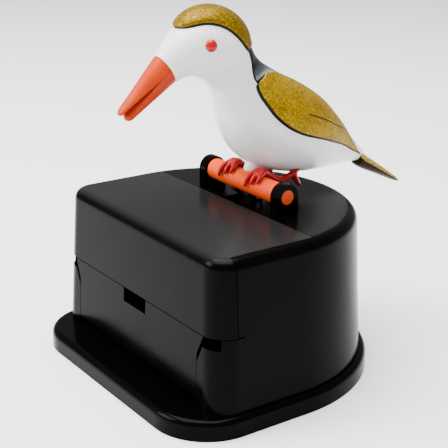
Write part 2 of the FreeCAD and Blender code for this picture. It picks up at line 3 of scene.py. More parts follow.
import bmesh
import bpy
import numpy as np
from mathutils import Matrix, Vector


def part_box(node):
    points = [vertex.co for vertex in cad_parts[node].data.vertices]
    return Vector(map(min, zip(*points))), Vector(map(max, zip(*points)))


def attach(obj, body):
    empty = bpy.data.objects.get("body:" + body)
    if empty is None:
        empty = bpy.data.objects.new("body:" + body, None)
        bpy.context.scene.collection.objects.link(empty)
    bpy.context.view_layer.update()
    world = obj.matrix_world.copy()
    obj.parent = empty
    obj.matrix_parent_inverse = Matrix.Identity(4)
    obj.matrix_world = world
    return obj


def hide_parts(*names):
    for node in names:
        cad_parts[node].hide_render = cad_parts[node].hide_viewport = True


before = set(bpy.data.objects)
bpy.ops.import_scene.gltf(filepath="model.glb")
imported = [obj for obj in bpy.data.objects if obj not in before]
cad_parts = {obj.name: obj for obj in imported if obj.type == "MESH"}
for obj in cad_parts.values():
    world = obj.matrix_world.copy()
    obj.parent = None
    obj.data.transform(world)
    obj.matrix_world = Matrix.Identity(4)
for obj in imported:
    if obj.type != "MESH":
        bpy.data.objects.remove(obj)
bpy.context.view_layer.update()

MM = 0.001      # one millimetre in metres


# ------------------------------------------------------------------ materials

NOISE_ROUGHNESS = 0.55


class Nodes:
    """A material's node tree with short helpers.

    Colours are linear RGB, and the scales of noise and cells are features per metre."""

    def __init__(self, name):
        self.material = bpy.data.materials.new(name)
        self.material.use_nodes = True
        self.tree = self.material.node_tree
        self.shader = self.tree.nodes["Principled BSDF"]
        self.place = self.add("ShaderNodeTexCoord").outputs["Object"]

    def add(self, kind, **values):
        node = self.tree.nodes.new(kind)
        for key, value in values.items():
            setattr(node, key, value)
        return node

    def link(self, source, target):
        self.tree.links.new(source, target)

    def noise(self, scale, detail):
        """A soft random value from 0 to 1."""
        node = self.add("ShaderNodeTexNoise")
        node.inputs["Scale"].default_value = scale
        node.inputs["Detail"].default_value = detail
        node.inputs["Roughness"].default_value = NOISE_ROUGHNESS
        self.link(self.place, node.inputs["Vector"])
        return node.outputs["Fac"]

    def cells(self, scale):
        """A random colour for each small cell."""
        node = self.add("ShaderNodeTexVoronoi")
        node.inputs["Scale"].default_value = scale
        self.link(self.place, node.inputs["Vector"])
        return node.outputs["Color"]

    def ramp(self, source, *stops):
        """Colours or grey levels along a value: (position, colour) pairs."""
        node = self.add("ShaderNodeValToRGB")
        points = node.color_ramp.elements
        while len(points) < len(stops):
            points.new(0.5)
        for point, (position, colour) in zip(points, stops):
            point.position = position
            level = colour if isinstance(colour, tuple) else (colour,) * 3
            point.color = level + (1.0,)
        self.link(source, node.inputs["Fac"])
        return node.outputs["Color"]

    def mix(self, factor, first, second):
        """Mix two colours; a colour may be a socket or a tuple."""
        node = self.add("ShaderNodeMix", data_type="RGBA")
        colours = [socket for socket in node.inputs if socket.type == "RGBA"]
        sockets = [node.inputs["Factor"], colours[0], colours[1]]
        for value, socket in zip((factor, first, second), sockets):
            if isinstance(value, bpy.types.NodeSocket):
                self.link(value, socket)
            elif isinstance(value, tuple):
                socket.default_value = value + (1.0,)
            else:
                socket.default_value = value
        return [socket for socket in node.outputs if socket.type == "RGBA"][0]

    def attribute(self, name):
        """A number that point_values stored on the mesh."""
        return self.add("ShaderNodeAttribute", attribute_name=name).outputs["Fac"]

    def bump(self, *layers):
        """Stack bumps: (height socket, strength, distance in metres) each."""
        normal = None
        for height, strength, distance in layers:
            node = self.add("ShaderNodeBump")
            node.inputs["Strength"].default_value = strength
            node.inputs["Distance"].default_value = distance
            self.link(height, node.inputs["Height"])
            if normal is not None:
                self.link(normal, node.inputs["Normal"])
            normal = node.outputs["Normal"]
        self.link(normal, self.shader.inputs["Normal"])

    def set(self, **values):
        """Set the shader's inputs by name, such as Base_Color. An output socket is linked to its input."""
        for key, value in values.items():
            socket = self.shader.inputs[key.replace("_", " ")]
            if isinstance(value, bpy.types.NodeSocket):
                self.link(value, socket)
            elif isinstance(value, tuple):
                socket.default_value = value + (1.0,)
            else:
                socket.default_value = value


BLACK_IOR = 1.22            # low, so that the black walls mirror little of the room
PLASTIC_BLACK = (0.0010, 0.0008, 0.0005)
INSIDE_BLACK = (0.004, 0.0038, 0.0035)
DUST = (0.006, 0.0055, 0.005)
# A lighter grey painted on faces that point up: a painted sheen of the lamps above.
TOP_SHEEN_GREY = (0.012, 0.012, 0.012)
GOLD_OUTLINE = (0.012, 0.011, 0.008)
SLATE_OUTLINE = (0.007, 0.007, 0.008)
LINE_EDGE = ((0.94, 0.0), (1.0, 1.0))       # a painted outline ends where "rim" reaches 1


def black_gloss(name, roughness, shine, tint=PLASTIC_BLACK, top_sheen=0.0):
    """Injection-moulded black plastic with faint flow mottling and dust.

    The last argument sets how far faces that point up are painted a lighter dull grey, from 0 to 1: a
    painted sheen that stands for the lamps above mirrored in the top."""
    mat = Nodes(name)
    mottle = mat.noise(90.0, 4.0)
    dust = mat.ramp(mat.noise(2600.0, 2.0), (0.66, 0.0), (0.76, 1.0))
    deep = tuple(0.72 * level for level in tint)
    base = mat.mix(mottle, mat.mix(dust, tint, DUST), deep)
    if top_sheen:
        facing = mat.add("ShaderNodeSeparateXYZ")
        mat.link(mat.add("ShaderNodeNewGeometry").outputs["Normal"], facing.inputs["Vector"])
        # Faces that point up are painted lighter: a painted sheen of the lamps above.
        upward = mat.ramp(facing.outputs["Z"], (0.6, 0.0), (0.95, top_sheen))
        base = mat.mix(upward, base, TOP_SHEEN_GREY)
    mat.set(Base_Color=base,
            Roughness=mat.ramp(mottle, (0.3, roughness), (0.75, roughness + 0.09)),
            Specular_IOR_Level=shine, IOR=BLACK_IOR)
    mat.bump((mat.noise(420.0, 2.0), 0.10, 0.0002), (mat.noise(3200.0, 2.0), 0.05, 0.00005))
    return mat.material


def steel():
    """Zinc-plated wire and screws."""
    mat = Nodes("zinc_plated_steel")
    stain = mat.noise(900.0, 4.0)
    mat.set(Base_Color=mat.ramp(stain, (0.3, (0.42, 0.42, 0.44)), (0.7, (0.66, 0.66, 0.68))),
            Metallic=1.0, Roughness=mat.ramp(stain, (0.3, 0.22), (0.7, 0.38)))
    mat.bump((mat.noise(4000.0, 2.0), 0.12, 0.00003))
    return mat.material


def white_plastic():
    """Milky moulded plastic with a soft shine and slightly uneven whiteness."""
    mat = Nodes("milky_white_plastic")
    cloud = mat.noise(60.0, 3.0)
    base = mat.ramp(cloud, (0.3, (0.80, 0.80, 0.795)), (0.7, (0.87, 0.87, 0.865)))
    mat.set(Base_Color=base, Roughness=mat.ramp(mat.noise(300.0, 3.0), (0.3, 0.26), (0.7, 0.34)),
            Subsurface_Weight=0.22, Coat_Weight=0.25, Coat_Roughness=0.12)
    mat.shader.inputs["Subsurface Radius"].default_value = (1.0, 0.85, 0.75)
    mat.shader.inputs["Subsurface Scale"].default_value = 0.0016
    mat.bump((mat.noise(160.0, 2.0), 0.05, 0.0003))
    return mat.material


def glitter(name, dark, mid, bright):
    """Clear lacquer over gold glitter: every flake has its own tilt and brightness."""
    mat = Nodes(name)
    flake = mat.cells(3600.0)
    fine = mat.cells(6500.0)
    spread = mat.add("ShaderNodeSeparateColor")
    mat.link(flake, spread.inputs["Color"])
    colour = mat.ramp(spread.outputs["Red"], (0.0, dark), (0.4, mid), (0.86, mid), (1.0, bright))
    cloud = mat.ramp(mat.noise(140.0, 3.0), (0.3, 0.0), (0.7, 1.0))
    colour = mat.mix(cloud, colour, mat.ramp(spread.outputs["Green"], (0.2, mid), (0.9, dark)))
    inside = mat.ramp(mat.attribute("rim"), *LINE_EDGE)
    base = mat.mix(inside, GOLD_OUTLINE, colour)
    mat.set(Base_Color=base, Metallic=mat.ramp(spread.outputs["Blue"], (0.3, 0.30), (0.8, 0.75)),
            Roughness=mat.ramp(spread.outputs["Green"], (0.0, 0.36), (1.0, 0.6)),
            Specular_IOR_Level=0.06, Coat_Weight=0.05, Coat_Roughness=0.14)
    mat.bump((flake, 0.4, 0.00008), (fine, 0.2, 0.00004))
    return mat.material


def plain_gloss(name, light, dark, roughness, coat):
    """Coloured moulded plastic, a little darker where the pigment has flowed."""
    mat = Nodes(name)
    flow = mat.noise(220.0, 4.0)
    mat.set(Base_Color=mat.ramp(flow, (0.32, dark), (0.68, light)),
            Roughness=mat.ramp(mat.noise(700.0, 3.0), (0.3, roughness), (0.7, roughness + 0.1)),
            Specular_IOR_Level=0.16, Coat_Weight=coat, Coat_Roughness=0.1)
    mat.bump((mat.noise(500.0, 2.0), 0.08, 0.0002))
    return mat.material


def slate_paint_and_highlight():
    """Dark slate paint on the nape, bordered by a black line; toward its rear end it turns pale grey, a
    painted highlight where the top of the back catches the light.
    """
    mat = Nodes("slate_paint_and_highlight")
    cloud = mat.noise(500.0, 3.0)
    # The slate turns pale grey toward the rear end: a painted highlight on the top of the back.
    paint = mat.ramp(mat.attribute("shade"), (0.0, (0.004, 0.005, 0.007)), (0.5, (0.006, 0.007, 0.010)),
                     (0.75, (0.06, 0.065, 0.08)), (1.0, (0.50, 0.51, 0.53)))
    paint = mat.mix(mat.ramp(cloud, (0.3, 0.0), (0.7, 0.35)), paint, (0.02, 0.021, 0.026))
    inside = mat.ramp(mat.attribute("rim"), *LINE_EDGE)
    mat.set(Base_Color=mat.mix(inside, SLATE_OUTLINE, paint),
            Roughness=mat.ramp(cloud, (0.3, 0.3), (0.7, 0.4)), Specular_IOR_Level=0.15)
    mat.bump((mat.noise(1500.0, 2.0), 0.08, 0.00008))
    return mat.material


def tail_paint():
    """Gold glitter on top of the tail and brown lacquer underneath, where "shade" is 0."""
    mat = Nodes("tail_lacquer")
    flake = mat.cells(3600.0)
    spread = mat.add("ShaderNodeSeparateColor")
    mat.link(flake, spread.inputs["Color"])
    gold = mat.ramp(spread.outputs["Red"], (0.0, (0.10, 0.075, 0.008)), (0.5, (0.30, 0.22, 0.03)),
                    (1.0, (0.55, 0.42, 0.10)))
    brown = mat.ramp(mat.noise(700.0, 4.0), (0.3, (0.014, 0.006, 0.002)), (0.7, (0.034, 0.014, 0.005)))
    top = mat.ramp(mat.attribute("shade"), (0.45, 0.0), (0.55, 1.0))
    mat.set(Base_Color=mat.mix(top, brown, gold),
            Roughness=mat.ramp(spread.outputs["Green"], (0.0, 0.3), (1.0, 0.5)),
            Specular_IOR_Level=0.06)
    mat.bump((flake, 0.3, 0.00006))
    return mat.material


WALLS = black_gloss("black_gloss_walls", 0.17, 0.12)
# The cover's top gets the painted sheen: its faces that point up are painted a lighter grey.
COVER = black_gloss("black_gloss_cover", 0.17, 0.12, top_sheen=0.8)
BASE = black_gloss("black_gloss_base", 0.12, 0.12)
MOULDED = black_gloss("black_satin_inside", 0.38, 0.15, tint=INSIDE_BLACK)
STEEL = steel()
WHITE = white_plastic()
GOLD = glitter("gold_glitter_lacquer", (0.10, 0.054, 0.0), (0.36, 0.215, 0.0), (0.85, 0.58, 0.02))
# A darker copy of the gold for the cap: painted shade that offsets the strong light from above on the
# crown.
GOLD_CAP_SHADED = glitter("shaded_gold_glitter_cap", (0.06, 0.032, 0.0), (0.20, 0.118, 0.0), (0.55, 0.37, 0.01))
SLATE = slate_paint_and_highlight()
TAIL = tail_paint()
ORANGE = plain_gloss("orange_beak_plastic", (0.50, 0.040, 0.0), (0.43, 0.030, 0.0), 0.36, coat=0.02)
# A darker copy of the beak's orange for the lower mandible: painted shade, as it lies in shadow under the
# upper half.
ORANGE_SHADED = plain_gloss("shaded_orange_plastic", (0.47, 0.032, 0.0), (0.40, 0.023, 0.0), 0.36, coat=0.02)
ROLLER = plain_gloss("orange_roller_plastic", (0.74, 0.066, 0.0), (0.64, 0.048, 0.0), 0.32, coat=0.03)
RED = plain_gloss("red_foot_plastic", (0.46, 0.0, 0.001), (0.27, 0.0, 0.001), 0.2, coat=0.2)
EYE_RED = plain_gloss("red_eye_bead", (0.42, 0.0, 0.001), (0.32, 0.0, 0.001), 0.12, coat=0.25)

# CAD nodes that no mesh replaces keep their shape and get only a material.
CAD_FINISH = {
    COVER: ("front_cover",),
    WALLS: ("case_shell", "perch_post_left", "perch_post_right", "pick_cradle"),
    BASE: ("base_plate",),
    MOULDED: ("toothpick_bin", "crank_bracket", "pull_link"),
    STEEL: ("base_screws", "bin_screws", "cradle_pivot_rod", "link_pin", "crank_pin", "return_spring"),
    ROLLER: ("perch_roller",),
}
for material, names in CAD_FINISH.items():
    for name in names:
        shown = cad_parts[name]
        shown.data.materials.clear()
        shown.data.materials.append(material)


# ------------------------------------------------------------------ mesh helpers

def new_object(name, vertices, faces, material, smooth=True):
    """A mesh object from points in millimetres."""
    mesh = bpy.data.meshes.new(name)
    mesh.from_pydata([tuple(MM * float(value) for value in point) for point in vertices], [], faces)
    mesh.validate()
    mesh.update()
    mesh.polygons.foreach_set("use_smooth", [smooth] * len(mesh.polygons))
    item = bpy.data.objects.new(name, mesh)
    bpy.context.collection.objects.link(item)
    mesh.materials.append(material)
    return item


def grid_faces(rows, columns, start=0, flip=False, wrap=False):
    """Quads of a grid of points stored row by row."""
    faces = []
    for i in range(rows - 1):
        for j in range(columns if wrap else columns - 1):
            k = (j + 1) % columns
            quad = (start + i * columns + j, start + i * columns + k,
                    start + (i + 1) * columns + k, start + (i + 1) * columns + j)
            faces.append(quad[::-1] if flip else quad)
    return faces


def end_faces(rows, columns, start=0):
    """The flat ends of a loft: its first and its last ring."""
    first = tuple(start + j for j in range(columns))
    last = tuple(start + (rows - 1) * columns + j for j in range(columns))
    return [first[::-1], last]


def ring_angles(count):
    """Evenly spaced angles round a ring, in radians."""
    return np.linspace(0, 2 * np.pi, count, endpoint=False)


def closed_sheet(name, front, back, material):
    """A closed solid between two grids of the same size, front outward."""
    rows, columns = front.shape[:2]
    count = rows * columns
    points = np.concatenate([front.reshape(-1, 3), back.reshape(-1, 3)])
    faces = grid_faces(rows, columns) + grid_faces(rows, columns, count, flip=True)
    border = list(range(columns))
    border += [i * columns + columns - 1 for i in range(1, rows)]
    border += [(rows - 1) * columns + j for j in range(columns - 2, -1, -1)]
    border += [i * columns for i in range(rows - 2, 0, -1)]
    for a, b in zip(border, border[1:] + border[:1]):
        faces.append((b, a, count + a, count + b))
    return new_object(name, points, faces, material)


def lofted(name, rings, material):
    """A closed solid through rings of points, with a flat end on the first and last."""
    rings = np.array(rings)
    rows, columns = rings.shape[:2]
    faces = grid_faces(rows, columns, wrap=True) + end_faces(rows, columns)
    return outward(new_object(name, rings.reshape(-1, 3), faces, material))


def point_values(item, name, values):
    """Store one number per vertex for the material to read."""
    layer = item.data.attributes.new(name, "FLOAT", "POINT")
    layer.data.foreach_set("value", np.asarray(values, dtype=np.float32).ravel())


def outward(item):
    """Make all faces of a closed mesh point outward."""
    work = bmesh.new()
    work.from_mesh(item.data)
    bmesh.ops.recalc_face_normals(work, faces=work.faces)
    work.to_mesh(item.data)
    work.free()
    return item


def finish_piece(item, node):
    """Fix a piece to the bird in the place of its CAD node."""
    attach(item, "bird")
    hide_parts(node)


def side_name(stem, side):
    """The left piece is at positive X."""
    return stem + ("_left" if side > 0 else "_right")


SIDES = (1, -1)


# ------------------------------------------------------------------ the bird's body

# Spine from the beak's root to the vent: rear, up and radius, in millimetres.
SPINE = [(-14.9, 86.45, 4.6), (-11.5, 88.5, 5.7), (-8.0, 90.1, 7.1), (-4.6, 90.6, 8.3), (-1.3, 89.6, 8.7),
         (1.9, 87.1, 8.1), (5.1, 82.9, 7.5), (7.8, 78.8, 8.3), (10.7, 74.8, 9.9), (14.6, 69.9, 12.2),
         (18.9, 66.8, 13.0), (25.6, 63.8, 12.0), (31.7, 61.0, 9.9), (38.2, 58.2, 7.2), (43.6, 55.9, 5.0),
         (48.2, 54.0, 3.2), (52.0, 52.3, 1.6)]


def smooth_curve(points, steps=24):
    """A Catmull-Rom curve through the points."""
    knots = np.array(points, float)
    knots = np.vstack([2 * knots[0] - knots[1], knots, 2 * knots[-1] - knots[-2]])
    curve = []
    for a, b, c, d in zip(knots, knots[1:], knots[2:], knots[3:]):
        for t in np.arange(steps) / steps:
            curve.append(0.5 * (2 * b + (c - a) * t + (2 * a - 5 * b + 4 * c - d) * t ** 2
                                + (3 * b - a - 3 * c + d) * t ** 3))
    return np.array(curve + [knots[-2]])


def along_line(*points):
    """A smooth function through (position, value) points."""
    curve = smooth_curve(points, 12)
    return lambda at: np.interp(at, curve[:, 0], curve[:, 1])


CURVE = smooth_curve(SPINE)
ALONG = np.concatenate([[0.0], np.cumsum(np.hypot(*np.diff(CURVE[:, :2], axis=0).T))])
HEADING = np.gradient(CURVE[:, :2], ALONG, axis=0)
GROWTH = np.gradient(CURVE[:, 2], ALONG)      # how fast the radius grows along the spine
STEEPEST = 0.95             # most that it may grow per mm, so that the skin has a normal
BODY_LENGTH = ALONG[-1]


def skin(along, turn, lift=0.0):
    """Points and normals of the body: mm along the spine, degrees from the back's midline, mm outward."""
    along, turn, lift = np.broadcast_arrays(along, np.radians(turn), lift)
    y, z, radius = (np.interp(along, ALONG, CURVE[:, i]) for i in range(3))
    head_y, head_z = (np.interp(along, ALONG, HEADING[:, i]) for i in range(2))
    size = np.hypot(head_y, head_z)
    head_y, head_z = head_y / size, head_z / size
    slope = np.clip(np.interp(along, ALONG, GROWTH), -STEEPEST, STEEPEST)
    flat = np.sqrt(1 - slope ** 2)
    normal = np.stack([flat * np.sin(turn),
                       -slope * head_y - flat * np.cos(turn) * head_z,
                       -slope * head_z + flat * np.cos(turn) * head_y], -1)
    centre = np.stack([np.zeros_like(y), y, z], -1)
    return centre + normal * (radius + lift)[..., None], normal


def eased(count, power):
    """Numbers from 0 to 1, closer together near both ends as power goes from 0 to 1."""
    t = np.linspace(0, 1, count)
    return (1 - power) * t + power * (0.5 - 0.5 * np.cos(np.pi * t))


BODY_ROWS, BODY_COLUMNS = 230, 72
BODY_SEAM_DEPTH = 0.10
BODY_SEAM_WIDTH = 0.15
BODY_SEAM_RADIUS = 8.0      # turns the angle from the seam into millimetres
BODY_HALF_GAP = 0.02        # each shell's distance from the centre plane


def body_half(side):
    """One white shell, from the midline of the back to the midline of the belly."""
    along = np.linspace(0, BODY_LENGTH, BODY_ROWS)[:, None]
    turn = side * 180 * eased(BODY_COLUMNS, 0.35)[None, :]
    off_seam = BODY_SEAM_RADIUS * np.radians(np.minimum(np.abs(turn), 180 - np.abs(turn)))
    points, _ = skin(along, turn, -BODY_SEAM_DEPTH * np.exp(-(off_seam / BODY_SEAM_WIDTH) ** 2))
    points[..., 0] += side * BODY_HALF_GAP
    faces = grid_faces(BODY_ROWS, BODY_COLUMNS) + end_faces(BODY_ROWS, BODY_COLUMNS)
    for i in range(BODY_ROWS - 1):
        back, back_next = i * BODY_COLUMNS, (i + 1) * BODY_COLUMNS
        belly, belly_next = back + BODY_COLUMNS - 1, back_next + BODY_COLUMNS - 1
        faces.append((belly, back, back_next, belly_next))
    name = side_name("bird_body", side)
    item = outward(new_object("shell_" + name, points.reshape(-1, 3), faces, WHITE))
    finish_piece(item, name)


# The pad's sections from the roller to inside the belly: up, rear, half width and half depth.
PAD_LEVELS = [(53.8, 12.6, 2.0, 2.2), (54.4, 13.2, 2.5, 3.2), (55.6, 14.6, 2.9, 4.2),
              (57.5, 16.0, 3.0, 4.4), (60.0, 17.0, 2.6, 3.8)]
PAD_SIDES = 56


def belly_saddle():
    """Rounded pad moulded under the belly, down to the roller between the feet."""
    around = ring_angles(PAD_SIDES)
    rings = []
    for up, rear, wide, deep in smooth_curve(PAD_LEVELS, 8):
        level = np.full(PAD_SIDES, up)
        rings.append(np.column_stack([wide * np.cos(around), rear + deep * np.sin(around), level]))
    finish_piece(lofted("belly_pad", rings, WHITE), "belly_saddle")


for side in SIDES:
    body_half(side)
belly_saddle()


PATCH_TUCK = 0.30           # how far a patch's edge dips under the body's skin
PATCH_ROUNDING = 0.55       # how far past the outline its edge is still rounded
PATCH_ROOT = 0.5            # depth of its inner side below the skin or the tucked edge
LINE_DEPTH, LINE_WIDTH = 0.16, 0.10             # engraved line where the outline ends
FEATHER_DEPTH, FEATHER_WIDTH = 0.14, 0.12       # engraved feather line


def raised_patch(name, front, rear, low, high, lift, line, rows, columns, material, groove=None):
    """A thin closed piece on the body.

    front(v), rear(v): its ends in mm along the spine; low(s), high(s): its sides in degrees;
    lift(u, v): its height; line(u, v): width of the dark outline; u runs from front to rear and
    v from low to high. groove(s, turn): distance in mm from a fine engraved line, if there is one."""
    u, v = np.meshgrid(eased(rows, 0.8), eased(columns, 0.85), indexing="ij")
    along = front(v) + (rear(v) - front(v)) * u
    turn = low(along) + (high(along) - low(along)) * v
    points, _ = skin(along, turn)
    step_u = np.linalg.norm(np.diff(points, axis=0), axis=-1)
    step_v = np.linalg.norm(np.diff(points, axis=1), axis=-1)
    run_u = np.vstack([np.zeros((1, columns)), np.cumsum(step_u, axis=0)])
    run_v = np.hstack([np.zeros((rows, 1)), np.cumsum(step_v, axis=1)])
    edge_u = np.minimum(run_u, run_u[-1:] - run_u)
    edge_v = np.minimum(run_v, run_v[:, -1:] - run_v)
    edge = np.minimum(edge_u, edge_v)
    width = line(u, v)
    inward = 1 - np.clip(edge / (width + PATCH_ROUNDING), 0, 1)
    height = -PATCH_TUCK + (lift(u, v) + PATCH_TUCK) * np.sqrt(1 - inward ** 2)
    height -= LINE_DEPTH * np.exp(-((edge - width) / LINE_WIDTH) ** 2)
    rim = edge / width
    if groove is not None:
        gap = groove(along, turn)
        height -= FEATHER_DEPTH * np.exp(-(gap / FEATHER_WIDTH) ** 2)
        rim = np.minimum(rim, 0.86 + gap / 1.6)
    outer, _ = skin(along, turn, height)
    inner, _ = skin(along, turn, np.minimum(height, 0) - PATCH_ROOT)
    item = closed_sheet(name, outer, inner, material)
    point_values(item, "rim", np.concatenate([rim.ravel(), rim.ravel()]))
    point_values(item, "shade", np.concatenate([u.ravel(), u.ravel()]))
    return outward(item)


# ------------------------------------------------------------------ crest, nape and wings

# Outlines on the body's skin: mm along the spine, then degrees from the back's midline.
CAP_SIDE = along_line((8.1, 3.0), (8.4, 13.0), (9.0, 24.0), (10.2, 35.0), (11.8, 43.5), (13.2, 50.0),
                      (15.2, 58.5), (17.2, 61.0), (19.6, 58.0), (21.5, 52.0))
CAP_FRONT = 8.1
CAP_REAR = 20.6
CAP_RIM_LIFT = 0.75
CAP_CROWN_LIFT = 1.9


def crest_cap():
    """Helmet of gold glitter, thick over the crown and thin at its rim."""
    def rear(v):
        return CAP_REAR - 1.6 * np.abs(2 * v - 1) ** 1.5

    def lift(u, v):
        across = 1 - np.abs(2 * v - 1) ** 2.2
        lengthwise = np.abs(np.sin(np.pi * u ** 0.95)) ** 1.1
        return CAP_RIM_LIFT + CAP_CROWN_LIFT * across * lengthwise

    def outline(u, v):
        return 0.34 + 0.22 * u

    item = raised_patch("crest_cap_gold", lambda v: CAP_FRONT + 0 * v, rear, lambda s: -CAP_SIDE(s),
                        CAP_SIDE, lift, outline, 150, 170, GOLD_CAP_SHADED)
    finish_piece(item, "crest_cap")


NAPE_SIDE = along_line((17.5, 53.0), (18.8, 57.0), (20.2, 63.0), (23.0, 71.0), (26.0, 79.0), (28.6, 84.0),
                       (31.0, 84.0), (60.0, 84.0))
# The nape's rear end, from the midline of the back (0) to its sides (1), in mm along the spine.
NAPE_REAR = along_line((0, 60.0), (0.10, 54.0), (0.2, 44.5), (0.33, 38.0), (0.46, 35.0), (0.62, 32.8),
                       (0.8, 31.4), (1.0, 30.6))
NAPE_FRONT = 17.9
NAPE_LIFT = 0.30
NAPE_OUTLINE = 0.80


def nape_panel():
    """Slate-painted saddle behind the cap that runs to a point between the wings."""
    def front(v):
        return NAPE_FRONT + 1.4 * (1 - np.abs(2 * v - 1) ** 2)

    item = raised_patch("nape_panel_slate", front, lambda v: NAPE_REAR(np.abs(2 * v - 1)),
                        lambda s: -NAPE_SIDE(s), NAPE_SIDE, lambda u, v: NAPE_LIFT + 0 * u,
                        lambda u, v: NAPE_OUTLINE + 0 * u, 130, 160, SLATE)
    finish_piece(item, "nape_panel")


WING_LOW = along_line((29.0, 74.0), (30.2, 82.0), (31.2, 90.0), (34.8, 96.0), (38.8, 96.5), (43.0, 94.5),
                      (50.7, 91.5), (56.0, 88.0), (65.5, 85.0), (73.5, 89.0), (80.0, 94.0))
WING_HIGH = along_line((29.0, 62.0), (31.0, 52.0), (33.5, 38.0), (36.0, 27.0), (40.0, 19.0), (45.0, 16.0),
                       (52.0, 18.0), (58.0, 21.0), (64.0, 28.0), (68.5, 43.0), (74.0, 62.0), (80.0, 84.0))
WING_REAR = 79.6
FEATHER = along_line((42.5, 68.5), (47.5, 66.5), (52.0, 64.0), (57.0, 60.0), (62.8, 52.5), (67.5, 45.5))
FEATHER_START = 46.0
FEATHER_END = 67.0


def wing(side):
    """Leaf-shaped wing in gold glitter with a dark outline and one engraved feather line."""
    def groove(along, turn):
        past_end = np.maximum(np.maximum(FEATHER_START - along, along - FEATHER_END), 0)
        radius = np.interp(along, ALONG, CURVE[:, 2])
        return np.hypot(np.radians(np.abs(turn) - FEATHER(along)) * radius, past_end)

    def lift(u, v):
        return 0.85 - 0.35 * u + 0.25 * np.sin(np.pi * v) * np.sin(np.pi * u)

    def outline(u, v):
        lower = np.clip(1 - 2.5 * v, 0, 1)
        return 0.34 + lower * (0.72 - 0.5 * np.clip(u * 1.15, 0, 1))

    name = side_name("wing", side)
    item = raised_patch(name + "_gold", lambda v: 29.9 + 0.9 * v, lambda v: WING_REAR + 0 * v,
                        lambda s: side * WING_LOW(s), lambda s: side * WING_HIGH(s), lift,
                        outline, 330, 110, GOLD, groove)
    finish_piece(item, name)


crest_cap()
nape_panel()
for side in SIDES:
    wing(side)


# ------------------------------------------------------------------ beak, eyes, tail

# The beak's axis in the centre plane (rear, up), then its profile in mm along and above that axis.
BEAK_ROOT = np.array([-14.6, 86.6])
BEAK_ALONG = np.array([-0.758, -0.652])
BEAK_UP = np.array([-0.652, 0.758])
BEAK_LENGTH = 18.9
LOWER_SHORTER = 0.5
BEAK_TOP = along_line((-4.5, 4.6), (0.0, 4.35), (6.0, 3.75), (12.0, 2.95), (19.0, 2.05))
BEAK_BOTTOM = along_line((-4.5, -4.6), (0.0, -4.35), (6.0, -3.75), (12.0, -2.95), (19.0, -2.0))
BEAK_MOUTH = along_line((-4.5, 0.8), (0.0, 0.75), (6.0, 0.6), (12.0, 0.45), (19.0, 0.4))
# Half of the beak's width along its axis.
BEAK_WIDE = along_line((-4.5, 4.5), (0.0, 4.15), (6.0, 3.3), (12.0, 2.4), (19.0, 1.4))
BEAK_SIDES = 64
TIP_ROUNDING = 1.35         # length of the rounded end
FORK_START = 4.5            # where the halves begin to part
FORK_RUN = 12.0             # how far on they are fully parted
CLOSED_GAP = 0.012          # half the gap between the halves at the root
OPEN_GAP = 0.26             # what the fork adds to it at the tip


def mandible(name, upper, material, node):
    """Half of the beak: a cone cut along the mouth, opening into a rounded fork at the tip."""
    end = BEAK_LENGTH if upper else BEAK_LENGTH - LOWER_SHORTER
    straight = end - TIP_ROUNDING
    steps = np.concatenate([np.linspace(-1.5, 0.0, 6), np.linspace(0.3, straight, 60),
                            straight + TIP_ROUNDING * np.sin(np.linspace(0.06, 1.54, 18))])
    around = ring_angles(BEAK_SIDES)
    rings = []
    for at in steps:
        past = max(at - straight, 0) / TIP_ROUNDING
        scale = math.sqrt(max(1 - past ** 2, 0.0)) - 0.08 * max(-at, 0)
        top, bottom, mouth = BEAK_TOP(at), BEAK_BOTTOM(at), BEAK_MOUTH(at)
        parted = float(np.clip((at - FORK_START) / FORK_RUN, 0, 1))
        gap = CLOSED_GAP + OPEN_GAP * parted ** 2
        low, high = (mouth + gap, top) if upper else (bottom, mouth - gap)
        middle = (low + high) / 2
        whole = (top + bottom) / 2 + np.sin(around) * (top - bottom) / 2
        cut = np.clip(whole, low, high)
        own = middle + np.sin(around) * (high - low) / 2
        roundness = parted ** 1.6
        off_axis = (1 - roundness) * cut + roundness * own
        off_axis = middle + (off_axis - middle) * scale
        across = np.cos(around) * BEAK_WIDE(at) * scale
        place = BEAK_ROOT + BEAK_ALONG * at + BEAK_UP * off_axis[:, None]
        rings.append(np.column_stack([across, place]))
    finish_piece(lofted(name, rings, material), node)


mandible("beak_upper_mandible", True, ORANGE, "beak_upper")
mandible("beak_lower_mandible", False, ORANGE_SHADED, "beak_lower")


EYE_ALONG = 11.25           # mm along the spine
EYE_TURN = 81.0             # degrees from the back's midline
EYE_RADIUS = 1.62
EYE_RISE = 1.1
EYE_DEPTH = 1.2
EYE_SIDES = 48


def eye(side):
    """A glossy bead set into the side of the head."""
    points, normals = skin(np.array([EYE_ALONG]), np.array([side * EYE_TURN]))
    centre, normal = points[0], normals[0]
    first = np.cross(normal, [0, 0, 1.0])
    first /= np.linalg.norm(first)
    second = np.cross(normal, first)
    profile = [(EYE_RADIUS, -EYE_DEPTH), (EYE_RADIUS, -0.3)]
    profile += [(EYE_RADIUS * math.cos(t), EYE_RISE * math.sin(t)) for t in np.linspace(0.05, 1.53, 16)]
    around = ring_angles(EYE_SIDES)
    rings = [[centre + out * (math.cos(t) * first + math.sin(t) * second) + rise * normal for t in around]
             for out, rise in profile]
    name = side_name("eye", side)
    finish_piece(lofted(name + "_bead", rings, EYE_RED), name)


for side in SIDES:
    eye(side)


